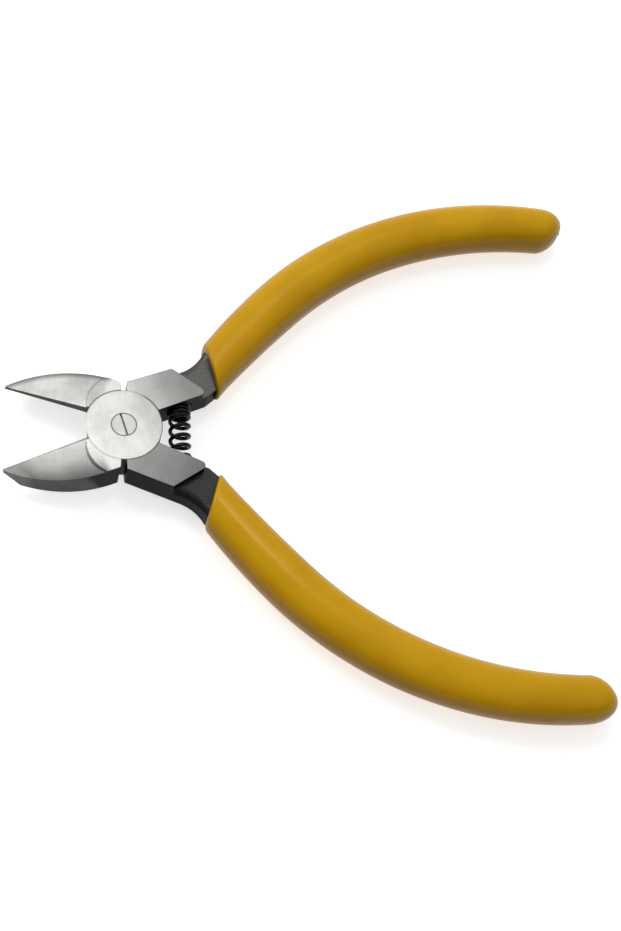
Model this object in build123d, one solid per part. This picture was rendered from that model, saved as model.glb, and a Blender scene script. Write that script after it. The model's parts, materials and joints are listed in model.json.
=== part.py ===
from build123d import *
from math import atan2, cos, degrees, pi, radians, sin, sqrt, tan
import os

# Flush cut pliers, in millimetres and degrees. The pivot axis is +Z, and the underside of the
# joint is at Z = 0. The jaws point to -X and the grips to +X. Each half is drawn as it lies
# when the jaws are closed, with its handle on the +Y side, and is then turned to the open rest.

# Joint
cheek_thickness = 6.4  # across the two ground cheeks
lap_radius = 7.1  # round lap about the pivot
lap_gap = 0.04  # between the two laps
seam_gap = 0.06  # round the edge of each lap
lap_cover = 1.0  # each shank's inner side starts this far inside its lap
rest_opening = 42.0  # angle between the cutting edges at rest
stop_gap_angle = 8.0  # left between the opening stops at rest
shank_stop_radius = 9.0  # outer corner of the shank's stop
jaw_stop_radius = 8.7  # outer corner of the jaw's stop
throat_reach = 6.75  # flat front of the laps between the open jaws
throat_lean = 8.5  # it leans in towards the underside

# Pivot screw
head_radius = 2.25
head_depth = 1.5
shank_radius = 1.7
head_clearance = 0.05
pivot_clearance = 0.03
screw_end_recess = 0.15  # its end stays below the underside
slot_width = 0.35
slot_depth = 0.4
slot_angle = 127.0  # from the lower half's closing line

# Jaws
jaw_length = 23.1  # from the pivot to the tips
jaw_tip_width = 0.5
jaw_side_radius = 24.3  # bulge of the jaw's outer side
edge_gap = 0.02  # between the closed cutting edges
face_slope = 11.5  # the jaw faces fall towards the tips
face_drop = 0.12  # below the cheek where they leave the lap
face_crown_radius = 120.0  # crowned across the jaws
boss_radius = 6.45  # round end of the flat cheek on each jaw
boss_from_pivot = 1.6
boss_off_line = 3.4
boss_wall_slope = 45.0
edge_slope = 10.0  # the cutting edges fall a little less than the faces
edge_drop = 0.84  # edge below the face where they leave the lap
small_bevel_angle = 50.0  # from level, from the edge up to the face
hollow_radius = 11.0  # hollow grinding under the edge
hollow_entry_angle = 52.0  # from upright, at the edge

# Shanks
shank_side = 8.2  # outer side, from the closing line
shank_inner_start = 0.85  # inner side where it leaves the lap
shank_inner_end = 1.35  # and at its far corner
flat_outer_length = 12.7  # ground flat, from the pivot along its outer side
flat_inner_length = 17.4  # and along its inner side
flat_tip_radius = 0.9
underside_round = 0.8  # along both sides of the shank and the neck

# Handles: the line of each grip is two arcs from the middle of the grip's mouth
neck_reach = 2.6  # from the inner end of the ground flat to the middle of the mouth
mouth_y = 6.4
mouth_lean = 5.6  # the mouth leans back towards the closing line
handle_heading = 32.2
first_arc_radius = 165.0
first_arc_length = 21.0
second_arc_radius = 69.7
grip_length = 85.6
neck_half_width = 4.2  # steel at the mouth, along the mouth
neck_shoulder = 0.9  # and narrower by this on each side inside the grip
flare_lead = 1.8  # straight outer side behind the ground flat, before the flare
neck_step = 1.6  # the upper ground flat stands this much above the neck
underside_step = 0.3  # and the lower one this much below it
dish_radius = 40.0  # the neck's top is dished along its length
neck_round = 1.5  # along its outer top edge
tang_start = 5.0  # the neck turns into the tang this far inside the grip
tang_length = 74.0  # steel inside the grip
tang_start_width = 7.0
tang_end_width = 4.6
tang_start_thickness = 4.4
tang_end_thickness = 4.0
tang_round = 1.2

# Grips
grip_half_width = 4.88
grip_half_height = 4.6
grip_mouth_inset = 0.75  # the sleeve is slimmer all round at its mouth
grip_mouth_taper = 0.3  # share of its length that the mouth's taper takes
grip_end_inset = 0.85  # and narrower at its closed end
grip_end_taper = 0.5
grip_corner = 3.8  # round corners of the sleeve's section
grip_end_round = 3.7
grip_lip_round = 0.6
grip_lead = 9.0  # of sleeve drawn before the mouth, then trimmed

# Return spring
spring_from_pivot = 10.6
spring_outer_radius = 2.12
spring_wire = 0.75
spring_pitch = 2.09
spring_start_angle = 162.0  # where its coil starts round its axis
pocket_radius = 2.35
pocket_depth = 2.0
spring_end_gap = 0.05

# Worked out from the sizes above
half_thickness = cheek_thickness / 2
half_opening = rest_opening / 2
stop_angle = 90 - half_opening - stop_gap_angle / 2
mouth_x = flat_inner_length + neck_reach
beyond = 30.0  # cutters run this far past the steel


def polar(radius, angle):
    return (radius * cos(radians(angle)), radius * sin(radians(angle)))


def handle_place(s):
    """Point and heading of the handle's line, s from the grip's mouth."""
    first = min(s, first_arc_length)
    heading = handle_heading - degrees(first / first_arc_radius)
    start = radians(handle_heading)
    x = mouth_x + first_arc_radius * (sin(start) - sin(radians(heading)))
    y = mouth_y + first_arc_radius * (cos(radians(heading)) - cos(start))
    rest = s - first
    turn = degrees(rest / second_arc_radius)
    middle = radians(heading)
    end = radians(heading - turn)
    x += second_arc_radius * (sin(middle) - sin(end))
    y += second_arc_radius * (cos(end) - cos(middle))
    return x, y, heading - turn


def upright_plane(x, y, heading):
    """Upright plane across a heading, with its local X to the left and its local Y up."""
    ahead = (cos(radians(heading)), sin(radians(heading)), 0)
    left = (-sin(radians(heading)), cos(radians(heading)), 0)
    return Plane(origin=(x, y, 0), x_dir=left, z_dir=ahead)


def handle_plane(s):
    return upright_plane(*handle_place(s))


def mouth_plane():
    return upright_plane(mouth_x, mouth_y, -mouth_lean)


def jaw_outline():
    """Jaw on the -Y side: stop shoulder, bulged outer side, narrow tip, cutting edge."""
    shoulder = polar(jaw_stop_radius, stop_angle - 180)
    tip = (-jaw_length, -jaw_tip_width)
    inner = (-jaw_length, -edge_gap / 2)
    root = (0, -edge_gap / 2)
    side = RadiusArc(shoulder, tip, jaw_side_radius)
    return make_face([Line(root, shoulder), side, Line(tip, inner), Line(inner, root)])


def handle_outline():
    """Shank, neck and the start of the tang on the +Y side, from the pivot."""
    stop_corner = polar(shank_stop_radius, stop_angle)
    turn = (flat_outer_length + flare_lead, shank_side)
    flat_inner = (flat_inner_length, shank_inner_end)
    covered = lap_radius - lap_cover
    lap_inner = (covered, shank_inner_side(covered))
    mouth = mouth_plane()
    outer = mouth.from_local_coords((neck_half_width, 0, 0))
    inner = mouth.from_local_coords((-neck_half_width, 0, 0))
    shoulder_outer = mouth.from_local_coords((neck_half_width - neck_shoulder, 0, 0))
    shoulder_inner = mouth.from_local_coords((neck_shoulder - neck_half_width, 0, 0))
    tang_plane = handle_plane(tang_start)
    tang_outer = tang_plane.from_local_coords((tang_start_width / 2, 0, 0))
    tang_inner = tang_plane.from_local_coords((-tang_start_width / 2, 0, 0))
    outer_side = [Line((0, 0), stop_corner), Line(stop_corner, turn)]
    outer_side += [TangentArc(turn, outer, tangent=(1, 0))]
    inside_grip = Polyline(outer, shoulder_outer, tang_outer, tang_inner, shoulder_inner, inner)
    inner_side = Polyline(inner, flat_inner, lap_inner, (0, 0))
    return make_face(outer_side + [inside_grip, inner_side])


def shank_inner_side(x):
    """Distance of the shank's inner side from the closing line."""
    share = (x - lap_radius) / (flat_inner_length - lap_radius)
    return shank_inner_start + (shank_inner_end - shank_inner_start) * share


def slab(outline, low, high):
    return extrude(Pos(0, 0, low) * outline, high - low)


def edge_line(drop, slope, far):
    """Height of a ground line over the closing plane, far from the pivot."""
    return half_thickness - drop - (far - lap_radius) * tan(radians(slope))


def crowned_face():
    """Everything under the jaws' ground faces: a large cylinder lying along the slope."""
    axis_place = Plane(
        origin=(-lap_radius, 0, half_thickness - face_drop),
        x_dir=(0, 1, 0),
        z_dir=(cos(radians(face_slope)), 0, sin(radians(face_slope))),
    )
    return axis_place * (Pos(0, -face_crown_radius, 0) * Cylinder(face_crown_radius, 3 * beyond))


def cheek_boss():
    """Round end of the flat cheek, which stands above the -Y jaw's face."""
    spread = cheek_thickness / tan(radians(boss_wall_slope))
    boss = Cone(boss_radius + spread, boss_radius, cheek_thickness)
    return Pos(-boss_from_pivot, -boss_off_line, 0) * boss


def small_bevel():
    """Cutter for the narrow bevel from the -Y jaw's edge up to its face."""
    near = edge_line(edge_drop, edge_slope, 0)
    far = edge_line(edge_drop, edge_slope, beyond)
    outline = Polyline((0, near), (-beyond, far), (-beyond, beyond), (0, beyond), close=True)
    way = (0, -cos(radians(small_bevel_angle)), sin(radians(small_bevel_angle)))
    return extrude(Plane.XZ * make_face(outline), beyond, dir=way)


def hollow_grind():
    """Cutter for the hollow under the -Y jaw's edge, a cylinder along the edge."""
    near = edge_line(edge_drop, edge_slope, 0)
    along = (cos(radians(edge_slope)), 0, sin(radians(edge_slope)))
    place = Plane(origin=(0, 0, near), x_dir=(0, 1, 0), z_dir=along)
    aside = hollow_radius * cos(radians(hollow_entry_angle))
    below = hollow_radius * sin(radians(hollow_entry_angle))
    return place * (Pos(aside, -below, 0) * Cylinder(hollow_radius, 3 * beyond))


def jaw():
    body = slab(jaw_outline(), -half_thickness, half_thickness)
    body = body & (crowned_face() + cheek_boss())
    return body - small_bevel() - hollow_grind()


def flat_end():
    """Upright plane along the end of the ground flats, looking on towards the grip."""
    outer = Vector(flat_outer_length, shank_side)
    inner = Vector(flat_inner_length, shank_inner_end)
    across = (outer - inner).normalized()
    return Plane(origin=(outer + inner) * 0.5, x_dir=across, z_dir=(across.Y, -across.X, 0))


def behind_flat():
    """Plan of all that lies behind the ground flat's end and inward of its tip."""
    end = flat_end()
    tip = Vector(flat_inner_length, shank_inner_end)
    inner_x = flat_outer_length + neck_step
    inner = Vector(inner_x, shank_inner_side(inner_x))
    aside = tip + end.x_dir * beyond
    far = [aside + end.z_dir * beyond, tip + end.z_dir * beyond]
    plan = make_face(Polyline(inner, tip, aside, *far, inner - Vector(0, beyond), close=True))
    return fillet(plan.vertices().sort_by_distance(tip)[0], flat_tip_radius)


def neck_relief():
    """Cutters behind the ground flat: a dish across the neck's top, and a step below."""
    top = half_thickness - neck_step + dish_radius
    dish = flat_end() * (Pos(0, top, 0) * (Rot(0, 90, 0) * Cylinder(dish_radius, 4 * beyond)))
    below = slab(behind_flat(), -beyond, underside_step - half_thickness)
    return [slab(behind_flat(), 0, beyond) & dish, below]


def side_edges(face):
    """Edges of a face along the two sides of the shank and neck, outside the grip."""
    outline = handle_outline().face().outer_wire()
    mouth = mouth_plane()
    chosen = ShapeList()
    for edge in face.edges():
        middle = edge @ 0.5
        on_side = outline.distance_to(Vector(middle.X, middle.Y)) < edge_gap
        outside_grip = mouth.to_local_coords(middle).Z < -edge_gap
        if on_side and outside_grip and middle.length > shank_stop_radius:
            chosen.append(edge)
    return chosen


def shank_and_neck():
    """Shank with its ground flats, and the forged neck that flares out to the grip's mouth."""
    body = slab(handle_outline(), -half_thickness, half_thickness)
    body = fillet(side_edges(body.faces().sort_by(Axis.Z)[0]), underside_round)
    body = body - neck_relief()
    dished = body.faces().filter_by(GeomType.CYLINDER).sort_by(lambda face: face.radius)[-1]
    outer = [e for e in side_edges(dished) if (e @ 0.5).Y > mouth_y]
    return fillet(outer, neck_round)


def tang():
    """Tapered steel inside the grip, along the handle's two arcs."""
    count = 5
    sections = []
    for step in range(count):
        share = step / (count - 1)
        s = tang_start + (tang_length - tang_start) * share
        width = tang_start_width + (tang_end_width - tang_start_width) * share
        thickness = tang_start_thickness + (tang_end_thickness - tang_start_thickness) * share
        sections.append(handle_plane(s) * RectangleRounded(width, thickness, tang_round))
    return loft(sections)


def other_lap_room(side):
    """Room for the other half's lap, with the running gaps round it."""
    depth = half_thickness + lap_gap / 2 + 1
    room = Cylinder(lap_radius + seam_gap, depth)
    middle = lap_gap / 2 - depth / 2
    return Pos(0, 0, side * middle) * room


def throat_cut():
    """Cutter for the laps' flat front, square to the open jaws' middle line."""
    turned = Rot(0, 0, -half_opening)
    block = Pos(-beyond / 2, 0, 0) * Box(beyond, 2 * beyond, 2 * beyond)
    leaning = Pos(-throat_reach, 0, half_thickness) * (Rot(0, -throat_lean, 0) * block)
    return turned * leaning


def lap(side):
    """Round lap about the pivot, on the upper (+1) or the lower (-1) side."""
    thickness = half_thickness - lap_gap / 2
    middle = (half_thickness + lap_gap / 2) / 2
    return Pos(0, 0, side * middle) * Cylinder(lap_radius, thickness) - throat_cut()


def pocket_floor():
    """Middle of the spring pocket's floor, as the half lies when the pliers are open."""
    near = shank_inner_side(lap_radius)
    far = shank_inner_side(flat_inner_length)
    start = Vector(lap_radius, near).rotate(Axis.Z, half_opening)
    end = Vector(flat_inner_length, far).rotate(Axis.Z, half_opening)
    share = (spring_from_pivot - start.X) / (end.X - start.X)
    wall = start.Y + (end.Y - start.Y) * share
    return wall + pocket_depth


def spring_pocket():
    """Blind pocket in the shank's inner side, in line with its partner when open."""
    height = pocket_floor()
    drill = Pos(spring_from_pivot, height / 2, 0) * (Rot(90, 0, 0) * Cylinder(pocket_radius, height))
    return Rot(0, 0, -half_opening) * drill


def half(side):
    """One forging with its handle on the +Y side, as it lies when closed."""
    body = jaw() + shank_and_neck() - other_lap_room(side) + lap(side)
    return body + tang() - spring_pocket()


def top_half():
    bore = Cylinder(shank_radius + pivot_clearance, cheek_thickness)
    depth = head_depth + head_clearance
    seat = Pos(0, 0, half_thickness - depth / 2) * Cylinder(head_radius + head_clearance, depth)
    return half(1) - bore - seat


def bottom_half():
    """The other forging, turned to its own side of the closing plane."""
    return mirror(half(-1) - Cylinder(shank_radius, cheek_thickness), about=Plane.XZ)


def pivot_screw():
    """Slotted screw, flush with the upper cheek and fast in the lower lap."""
    length = cheek_thickness - screw_end_recess
    shank = Pos(0, 0, half_thickness - length / 2) * Cylinder(shank_radius, length)
    head = Pos(0, 0, half_thickness - head_depth / 2) * Cylinder(head_radius, head_depth)
    slot = Pos(0, 0, half_thickness) * Box(3 * head_radius, slot_width, 2 * slot_depth)
    return shank + head - Rot(0, 0, slot_angle) * slot


def return_spring():
    """Open coil between the two pockets, with its ends cut square."""
    length = 2 * (pocket_floor() - spring_end_gap)
    coil_radius = spring_outer_radius - spring_wire / 2
    helix = Helix(spring_pitch, length, coil_radius)
    path = Pos(0, 0, -length / 2) * (Rot(0, 0, spring_start_angle) * helix)
    section = Plane(origin=path @ 0, z_dir=path % 0) * Circle(spring_wire / 2)
    coil = sweep(section, path=path)
    square = Box(4 * spring_outer_radius, 4 * spring_outer_radius, length)
    return Pos(spring_from_pivot, 0, 0) * (Rot(90, 0, 0) * (coil & square))


def grip_section(s):
    """Section of the grip, s from its mouth: slimmer at the mouth and towards the closed end."""
    share = max(s, 0) / grip_length
    slim = grip_mouth_inset * max(1 - share / grip_mouth_taper, 0) ** 2
    narrow = grip_end_inset * max(1 - (1 - share) / grip_end_taper, 0) ** 2
    width = 2 * (grip_half_width - slim - narrow)
    height = 2 * (grip_half_height - slim / 2)
    return handle_plane(s) * RectangleRounded(width, height, grip_corner)


def grip():
    """Dipped sleeve over the tang, with a slanted mouth and a round closed end."""
    count = 9
    step = (grip_length + grip_lead) / (count - 1)
    body = loft([grip_section(step * index - grip_lead) for index in range(count)])
    end = body.faces().sort_by(Axis.X)[-1]
    body = fillet(end.edges(), grip_end_round)
    body = body - mouth_plane() * (Pos(0, 0, -beyond / 2) * Box(2 * beyond, 2 * beyond, beyond))
    mouth = body.faces().sort_by(Axis.X)[0]
    return fillet(mouth.edges(), grip_lip_round) - shank_and_neck() - tang()


def placed(solid, side):
    """Turned from the closed place to the open rest, and raised onto the underside."""
    return Pos(0, 0, half_thickness) * (Rot(0, 0, side * half_opening) * solid)


def main():
    os.makedirs("parts", exist_ok=True)
    parts = {
        "top_half": placed(top_half(), 1),
        "bottom_half": placed(bottom_half(), -1),
        "pivot_screw": placed(pivot_screw(), -1),
        "return_spring": Pos(0, 0, half_thickness) * return_spring(),
        "upper_grip": placed(grip(), 1),
        "lower_grip": placed(mirror(grip(), about=Plane.XZ), -1),
    }
    for name, solid in parts.items():
        export_step(solid, f"parts/{name}.step")


if __name__ == "__main__":
    main()
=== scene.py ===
"""Flush cut pliers, dressed for the studio.

The two forged halves and the pivot screw keep their solids and get their finishes. The dipped
grips and the return spring are surfaces worked out here, each in place of its solid. Sizes are
in millimetres and degrees, in the frame of the part, and meshes go to Blender in metres.
"""

from __future__ import annotations

import json
import logging
import math
from abc import ABC, abstractmethod
from dataclasses import dataclass, field, replace
from enum import Enum

import bpy
import numpy as np
from mathutils import Matrix, Vector

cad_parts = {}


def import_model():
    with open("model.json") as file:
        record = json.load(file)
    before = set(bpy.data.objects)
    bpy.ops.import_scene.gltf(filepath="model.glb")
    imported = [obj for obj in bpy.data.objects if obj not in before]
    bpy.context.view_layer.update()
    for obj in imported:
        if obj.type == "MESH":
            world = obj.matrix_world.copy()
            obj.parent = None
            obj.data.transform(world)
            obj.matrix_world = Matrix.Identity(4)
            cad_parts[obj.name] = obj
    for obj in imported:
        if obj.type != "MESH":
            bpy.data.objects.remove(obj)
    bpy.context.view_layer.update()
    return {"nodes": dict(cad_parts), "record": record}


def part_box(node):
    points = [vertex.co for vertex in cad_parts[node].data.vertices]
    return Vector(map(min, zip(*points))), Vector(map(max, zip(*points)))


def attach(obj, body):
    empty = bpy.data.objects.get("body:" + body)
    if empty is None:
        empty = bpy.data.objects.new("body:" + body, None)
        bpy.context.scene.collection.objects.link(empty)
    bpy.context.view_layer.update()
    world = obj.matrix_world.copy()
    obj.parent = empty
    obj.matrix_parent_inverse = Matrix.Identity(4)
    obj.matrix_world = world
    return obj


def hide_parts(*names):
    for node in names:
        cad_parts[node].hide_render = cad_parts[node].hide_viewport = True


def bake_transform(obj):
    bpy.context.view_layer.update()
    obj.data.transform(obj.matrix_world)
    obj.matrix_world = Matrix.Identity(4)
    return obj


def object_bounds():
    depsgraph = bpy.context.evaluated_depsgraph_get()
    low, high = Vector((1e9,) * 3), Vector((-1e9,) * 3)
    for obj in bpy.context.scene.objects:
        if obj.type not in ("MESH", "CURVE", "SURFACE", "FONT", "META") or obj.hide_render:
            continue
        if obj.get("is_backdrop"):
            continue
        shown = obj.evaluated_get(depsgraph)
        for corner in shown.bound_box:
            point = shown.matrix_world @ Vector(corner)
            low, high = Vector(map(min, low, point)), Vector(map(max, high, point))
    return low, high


log = logging.getLogger("flush_cut_pliers")

MM = 0.001  # metres in a millimetre
REFINEMENTS = 4  # rounds that place a sleeve's points

Socket = bpy.types.NodeSocket
Value = Socket | float
Pair = tuple[float, float]
Triple = tuple[float, float, float]
Colour = Socket | Triple


class Side(Enum):
    """The two halves: the one with its handle above the closing line, and the other."""

    UPPER = 1
    LOWER = -1


class Operation(Enum):
    """What a math node works out."""

    SUM = "ADD"
    DIFFERENCE = "SUBTRACT"
    PRODUCT = "MULTIPLY"
    HIGHEST = "MAXIMUM"
    UNSIGNED = "ABSOLUTE"
    ROOT = "SQRT"
    SINE = "SINE"


class Mixing(Enum):
    """How two colours come together."""

    BETWEEN = "MIX"
    PRODUCT = "MULTIPLY"


# ------------------------------------------------------------------ the open pliers' frame


@dataclass(frozen=True)
class Opening:
    """How far each half is turned from the closed place, and how high the pivot's middle is.

    Args:
        half_angle: turn of each half from the closed place to the open rest, in degrees.
        middle_height: height of the plane between the two laps.
    """

    half_angle: float
    middle_height: float

    @classmethod
    def from_record(cls, record: dict) -> Opening:
        """The opening, from the pivot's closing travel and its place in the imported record."""
        pivot = record["behaviour"]["joints"][0]
        return cls(-pivot["range_deg"][0] / 2, pivot["pos_m"][2] / MM)

    def opened(self, points: np.ndarray, side: Side) -> np.ndarray:
        """Takes points of a closed half to the open rest.

        Formula: each half is turned about the pivot by its own half angle and raised to the
        middle height; the lower half is the upper one mirrored in the closing plane.

        Args:
            points: array whose last axis is X, Y, Z, as the upper half lies when closed.
            side: the half that the points belong to.

        Returns:
            The points in the frame of the part, in millimetres.
        """
        angle = math.radians(self.half_angle)
        x, y, z = points[..., 0], points[..., 1], points[..., 2]
        turned_x = x * math.cos(angle) - y * math.sin(angle)
        turned_y = (x * math.sin(angle) + y * math.cos(angle)) * side.value
        return np.stack([turned_x, turned_y, z + self.middle_height], axis=-1)


# ------------------------------------------------------------------ meshes


def signed_volume(points: np.ndarray, faces: list[np.ndarray]) -> float:
    """Six times the volume inside the faces, above 0 where they are turned outwards.

    Formula: each face is a fan of triangles from its first corner, and the mixed products of
    the triangles' corners are summed.

    Args:
        points: array of N by 3 places.
        faces: arrays of corner numbers, one array for each number of corners.

    Returns:
        The signed sum.
    """
    total = 0.0
    for corners in faces:
        for number in range(1, corners.shape[1] - 1):
            first, second, third = (points[corners[:, i]] for i in (0, number, number + 1))
            total += float(np.einsum("ij,ij->i", first, np.cross(second, third)).sum())
    return total


def add_mesh(name: str, points: np.ndarray, faces: list[np.ndarray]) -> bpy.types.Object:
    """Makes a smooth mesh object at the origin, with its faces turned outwards.

    Formula: where the signed volume is negative, every face's corners are put in the other
    order.

    Args:
        name: name of the piece.
        points: array of N by 3 places, in millimetres.
        faces: arrays of corner numbers, one array for each number of corners.

    Returns:
        The new object, linked to the scene.
    """
    ordered = [f[:, ::-1] for f in faces] if signed_volume(points, faces) < 0 else faces
    corners = np.concatenate([f.ravel() for f in ordered])
    sizes = np.concatenate([np.full(len(f), f.shape[1]) for f in ordered])
    starts = np.concatenate([[0], np.cumsum(sizes)[:-1]])
    mesh = bpy.data.meshes.new(name)
    mesh.vertices.add(len(points))
    mesh.vertices.foreach_set("co", (points * MM).astype(np.float32).ravel())
    mesh.loops.add(len(corners))
    mesh.loops.foreach_set("vertex_index", corners.astype(np.int32))
    mesh.polygons.add(len(sizes))
    mesh.polygons.foreach_set("loop_start", starts.astype(np.int32))
    mesh.update(calc_edges=True)
    mesh.validate()
    mesh.shade_smooth()
    piece = bpy.data.objects.new(name, mesh)
    bpy.context.scene.collection.objects.link(piece)
    return piece


def closed_skin(rings: np.ndarray) -> tuple[np.ndarray, list[np.ndarray]]:
    """Joins rings of points into one closed skin, with a pole at each end.

    Formula: point number is ring times the points of a ring plus the place round it; each
    pole is the mean of the ring next to it.

    Args:
        rings: array of rings by points by 3.

    Returns:
        The points, and the faces as an array of quads and an array of triangles.
    """
    count, around = rings.shape[:2]
    number = np.arange(count * around).reshape(count, around)
    following = np.roll(number, -1, axis=1)
    walls = np.stack([number[:-1], following[:-1], following[1:], number[1:]], axis=-1)
    first, last = count * around, count * around + 1
    near = np.stack([np.full(around, first), following[0], number[0]], axis=-1)
    far = np.stack([np.full(around, last), number[-1], following[-1]], axis=-1)
    poles = np.stack([rings[0].mean(axis=0), rings[-1].mean(axis=0)])
    points = np.concatenate([rings.reshape(-1, 3), poles])
    return points, [walls.reshape(-1, 4), np.concatenate([near, far])]


def smooth_step(value: np.ndarray) -> np.ndarray:
    """Formula: 3 t squared minus 2 t cubed, with t held between 0 and 1."""
    held = np.clip(value, 0.0, 1.0)
    return held * held * (3 - 2 * held)


# ------------------------------------------------------------------ node trees


@dataclass(frozen=True)
class Pattern:
    """A cloudy noise.

    Args:
        scale: cells per millimetre.
        detail: octaves.
        roughness: share of each further octave.
        stretch: factors along the turned X, Y and Z, for a pattern that runs one way.
        turn: turn about Z in degrees, before the stretch.
    """

    scale: float
    detail: float = 3.0
    roughness: float = 0.5
    stretch: Triple | None = None
    turn: float = 0.0


@dataclass(frozen=True)
class Relief:
    """A fine relief of the skin.

    Args:
        depth: depth in millimetres.
        strength: share of it that shows.
    """

    depth: float
    strength: float


class Finish:
    """A material's node tree, with short calls for the nodes that the finishes share."""

    def __init__(self, name: str) -> None:
        """Starts an empty material with its shader and output.

        Args:
            name: name of the material.
        """
        self.material = bpy.data.materials.new(name)
        self.material.use_nodes = True
        self.tree = self.material.node_tree
        self.tree.nodes.clear()
        self.shader = self.node("ShaderNodeBsdfPrincipled")
        output = self.node("ShaderNodeOutputMaterial")
        self.link(self.shader.outputs["BSDF"], output.inputs["Surface"])
        self.coordinates = self.node("ShaderNodeTexCoord")

    def node(self, kind: str) -> bpy.types.ShaderNode:
        """A new node of a kind."""
        return self.tree.nodes.new(kind)

    def link(self, source: Value | tuple[float, ...], target: Socket) -> None:
        """Joins a socket to a target, or sets the target to a value.

        Args:
            source: the socket or value that the target takes.
            target: the socket that takes it.
        """
        if isinstance(source, Socket):
            self.tree.links.new(source, target)
        else:
            target.default_value = source

    def give(self, name: str, source: Value | Triple) -> None:
        """Gives the shader's input of a name a socket, or a value that is the same all over.

        Args:
            name: the input's name.
            source: a socket, a value or a colour.
        """
        target = self.shader.inputs[name]
        is_colour = isinstance(source, tuple) and target.type == "RGBA"
        self.link((*source, 1.0) if is_colour else source, target)

    def mapped(self, vector: Socket, scale: Triple, turn: float = 0.0,
               shift: Triple = (0.0, 0.0, 0.0)) -> Socket:
        """A vector scaled, turned about Z and shifted.

        Args:
            vector: the vector socket.
            scale: factors along X, Y and Z, applied first.
            turn: turn about Z in degrees, applied second.
            shift: added last.

        Returns:
            The vector socket.
        """
        node = self.node("ShaderNodeMapping")
        self.link(vector, node.inputs["Vector"])
        node.inputs["Scale"].default_value = scale
        node.inputs["Rotation"].default_value = (0, 0, math.radians(turn))
        node.inputs["Location"].default_value = shift
        return node.outputs["Vector"]

    def place(self, flip: int = 1, turn: float = 0.0, middle_height: float = 0.0) -> Socket:
        """Position on the piece in millimetres, flipped in Y, turned about Z, and lowered."""
        scale = (1 / MM, flip / MM, 1 / MM)
        return self.mapped(self.coordinates.outputs["Object"], scale, turn, (0, 0, -middle_height))

    def facing(self, flip: int = 1, turn: float = 0.0) -> Socket:
        """Direction of the surface, flipped in Y and then turned about Z."""
        return self.mapped(self.coordinates.outputs["Normal"], (1, flip, 1), turn)

    def split(self, vector: Socket) -> tuple[Socket, Socket, Socket]:
        """The X, Y and Z sockets of a vector.

        Args:
            vector: the vector socket.

        Returns:
            The three value sockets.
        """
        node = self.node("ShaderNodeSeparateXYZ")
        self.link(vector, node.inputs[0])
        return node.outputs[0], node.outputs[1], node.outputs[2]

    def math(self, operation: Operation, a: Value, b: Value = 0.0) -> Socket:
        """A math node of one or two values.

        Args:
            operation: what is worked out.
            a: first value or socket.
            b: second value or socket.

        Returns:
            The value socket.
        """
        node = self.node("ShaderNodeMath")
        node.operation = operation.value
        self.link(a, node.inputs[0])
        self.link(b, node.inputs[1])
        return node.outputs[0]

    def product(self, a: Value, b: Value) -> Socket:
        """The first value times the second."""
        return self.math(Operation.PRODUCT, a, b)

    def highest(self, a: Value, b: Value) -> Socket:
        """The higher of two values."""
        return self.math(Operation.HIGHEST, a, b)

    def apart(self, value: Value, middle: float) -> Socket:
        """How far a value is from a middle one."""
        return self.math(Operation.UNSIGNED, self.math(Operation.DIFFERENCE, value, middle))

    def radius(self, x: Value, y: Value) -> Socket:
        """Distance from the middle: the root of the sum of the squares of X and Y."""
        squares = self.math(Operation.SUM, self.product(x, x), self.product(y, y))
        return self.math(Operation.ROOT, squares)

    def rise(self, value: Value, start: float, full: float) -> Socket:
        """A smooth rise from 0 at the start to 1 where it is full, on either side.

        Args:
            value: the value socket.
            start: the value at which the rise is 0.
            full: the value at which it is 1, above or below the start.

        Returns:
            The value socket.
        """
        node = self.node("ShaderNodeMapRange")
        node.interpolation_type = "SMOOTHSTEP"
        falls = start > full
        self.link(value, node.inputs["Value"])
        node.inputs["From Min"].default_value = min(start, full)
        node.inputs["From Max"].default_value = max(start, full)
        node.inputs["To Min"].default_value = 1.0 if falls else 0.0
        node.inputs["To Max"].default_value = 0.0 if falls else 1.0
        return node.outputs["Result"]

    def scaled(self, value: Value, low: float, high: float) -> Socket:
        """Takes a value between 0 and 1 to one between low and high.

        Args:
            value: the value socket.
            low: result at 0.
            high: result at 1.

        Returns:
            The value socket.
        """
        node = self.node("ShaderNodeMapRange")
        self.link(value, node.inputs["Value"])
        node.inputs["To Min"].default_value = low
        node.inputs["To Max"].default_value = high
        return node.outputs["Result"]

    def blend(self, share: Value, a: Value, b: Value) -> Socket:
        """A value between two values.

        Args:
            share: 0 for a, 1 for b.
            a: first value or socket.
            b: second value or socket.

        Returns:
            The value socket.
        """
        node = self.node("ShaderNodeMix")
        node.data_type = "FLOAT"
        self.link(share, node.inputs[0])
        self.link(a, node.inputs[2])
        self.link(b, node.inputs[3])
        return node.outputs[0]

    def noise(self, vector: Socket, pattern: Pattern) -> Socket:
        """A cloudy noise.

        Args:
            vector: position in millimetres.
            pattern: the noise's sizes.

        Returns:
            The value socket, about 0 to 1.
        """
        if pattern.stretch is not None:
            turned = self.mapped(vector, (1, 1, 1), pattern.turn)
            vector = self.mapped(turned, pattern.stretch)
        node = self.node("ShaderNodeTexNoise")
        self.link(vector, node.inputs["Vector"])
        node.inputs["Scale"].default_value = pattern.scale
        node.inputs["Detail"].default_value = pattern.detail
        node.inputs["Roughness"].default_value = pattern.roughness
        return node.outputs["Fac"]

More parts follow.
